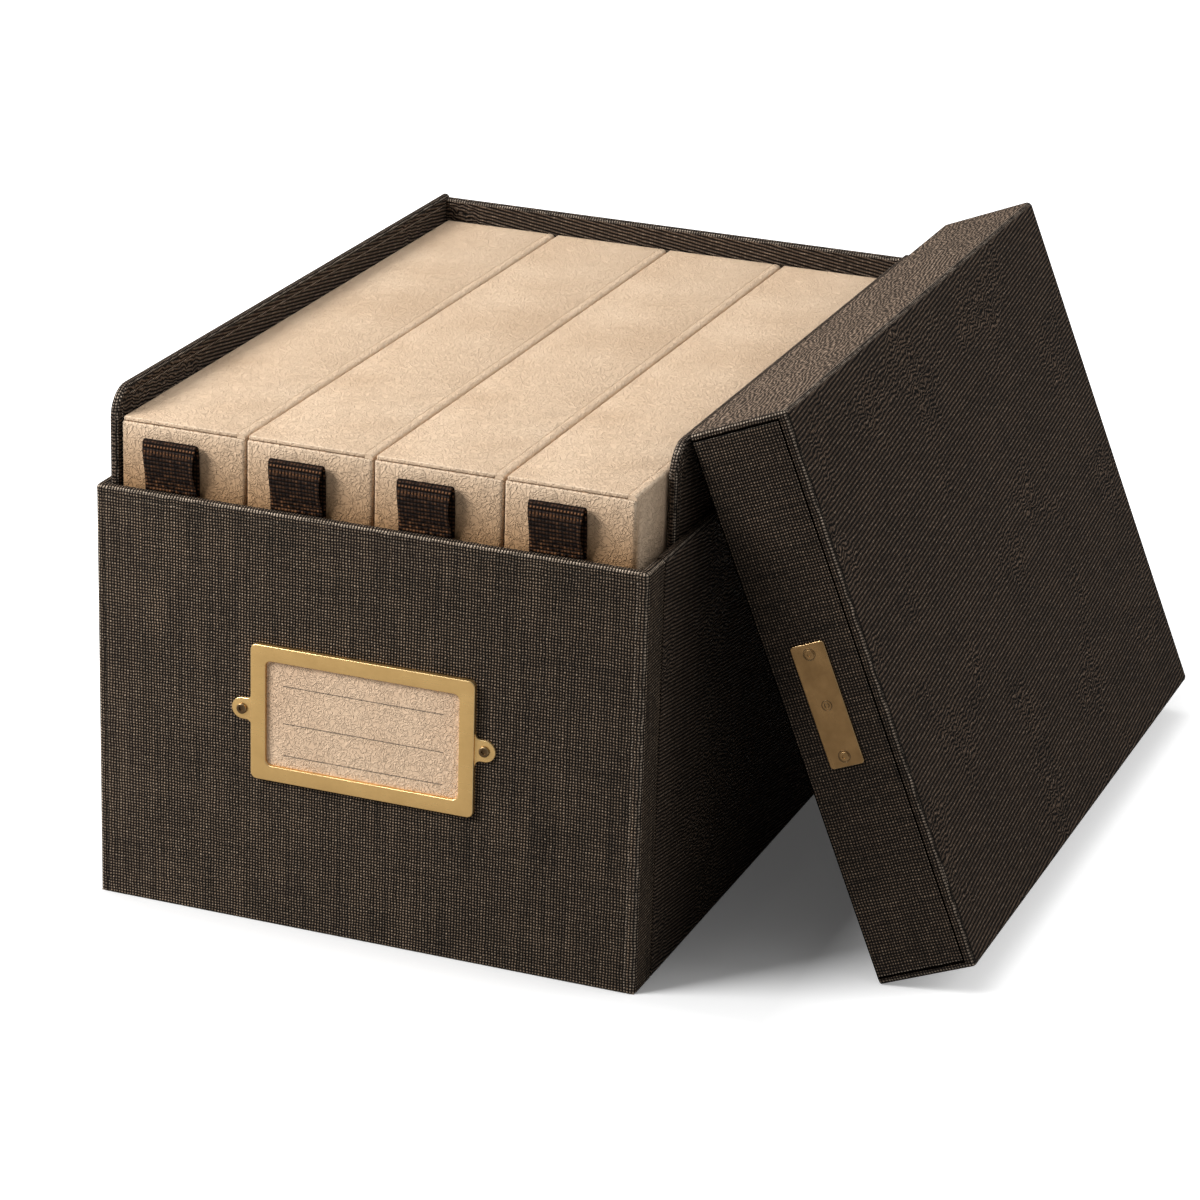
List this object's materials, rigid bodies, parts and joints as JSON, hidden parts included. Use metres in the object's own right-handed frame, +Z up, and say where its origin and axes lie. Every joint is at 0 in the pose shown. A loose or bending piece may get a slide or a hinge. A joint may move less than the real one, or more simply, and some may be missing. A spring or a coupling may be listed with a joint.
{
  "type": "archival box",
  "caption": "Cloth-covered archival box with a raised open-fronted shoulder, upright paper cases with hinged flaps and ribbon pulls, a card holder and a lift-off lid.",
  "frame": {"origin": "middle of the underside of the base", "axes": "+Z up, -Y is the front with the label holder, the loose lid leans on the +X side"},
  "size_m": [0.3052, 0.3311, 0.1972],
  "materials": {
    "greyboard": "matt",
    "book_cloth": "woven, starch filled",
    "lining_paper": "matt",
    "case_paper": "textured, matt",
    "ribbon": "ribbed grosgrain",
    "brass": "brushed satin",
    "aged_brass": "aged satin",
    "card_stock": "matt"
  },
  "bodies": {
    "base": {"underside_paper": "lining_paper", "floor_board": "greyboard", "floor_lining": "lining_paper", "front_board": "greyboard", "back_board": "greyboard", "left_board": "greyboard", "right_board": "greyboard", "front_cloth": "book_cloth", "body_cloth": "book_cloth", "neck_left_board": "greyboard", "neck_right_board": "greyboard", "neck_back_board": "greyboard", "neck_cloth": "book_cloth", "label_holder": "brass", "holder_pins": "brass"},
    "card": {"label_card": "card_stock"},
    "lid": {"lid_top_board": "greyboard", "lid_front_board": "greyboard", "lid_rear_board": "greyboard", "lid_upper_board": "greyboard", "lid_lower_board": "greyboard", "lid_wrap": "book_cloth", "lid_front_cloth": "book_cloth", "lid_rear_cloth": "book_cloth", "lid_lower_binding": "book_cloth", "lid_lining": "lining_paper", "lid_plate": "aged_brass", "plate_screws": "aged_brass"},
    "case_1": {"case_1_bottom": "case_paper", "case_1_front": "case_paper", "case_1_back": "case_paper", "case_1_left": "case_paper", "case_1_right": "case_paper", "case_1_hinge": "case_paper", "case_1_ribbon": "ribbon"},
    "flap_1": {"case_1_flap": "case_paper"},
    "case_2": {"case_2_bottom": "case_paper", "case_2_front": "case_paper", "case_2_back": "case_paper", "case_2_left": "case_paper", "case_2_right": "case_paper", "case_2_hinge": "case_paper", "case_2_ribbon": "ribbon"},
    "flap_2": {"case_2_flap": "case_paper"},
    "case_3": {"case_3_bottom": "case_paper", "case_3_front": "case_paper", "case_3_back": "case_paper", "case_3_left": "case_paper", "case_3_right": "case_paper", "case_3_hinge": "case_paper", "case_3_ribbon": "ribbon"},
    "flap_3": {"case_3_flap": "case_paper"},
    "case_4": {"case_4_bottom": "case_paper", "case_4_front": "case_paper", "case_4_back": "case_paper", "case_4_left": "case_paper", "case_4_right": "case_paper", "case_4_hinge": "case_paper", "case_4_ribbon": "ribbon"},
    "flap_4": {"case_4_flap": "case_paper"}
  },
  "joints": [
    {"name": "card_slide", "type": "slide", "parent": "base", "child": "card", "axis": [0, 0, 1], "range_m": [0, 0.05]},
    {"name": "lid_lift", "type": "slide", "parent": "base", "child": "lid", "axis": [0, 0, 1], "range_m": [0, 0.2]},
    {"name": "case_1_lift", "type": "slide", "parent": "base", "child": "case_1", "axis": [0, 0, 1], "range_m": [0, 0.185]},
    {"name": "flap_1_hinge", "type": "hinge", "parent": "case_1", "child": "flap_1", "pos_m": [-0.05, 0, 0.1735], "axis": [0, 1, 0], "range_deg": [0, 90]},
    {"name": "case_2_lift", "type": "slide", "parent": "base", "child": "case_2", "axis": [0, 0, 1], "range_m": [0, 0.185]},
    {"name": "flap_2_hinge", "type": "hinge", "parent": "case_2", "child": "flap_2", "pos_m": [-0.0035, 0, 0.1735], "axis": [0, 1, 0], "range_deg": [0, 90]},
    {"name": "case_3_lift", "type": "slide", "parent": "base", "child": "case_3", "axis": [0, 0, 1], "range_m": [0, 0.185]},
    {"name": "flap_3_hinge", "type": "hinge", "parent": "case_3", "child": "flap_3", "pos_m": [0.043, 0, 0.1735], "axis": [0, 1, 0], "range_deg": [0, 90]},
    {"name": "case_4_lift", "type": "slide", "parent": "base", "child": "case_4", "axis": [0, 0, 1], "range_m": [0, 0.185]},
    {"name": "flap_4_hinge", "type": "hinge", "parent": "case_4", "child": "flap_4", "pos_m": [0.0895, 0, 0.1735], "axis": [0, 1, 0], "range_deg": [0, 90]}
  ]
}
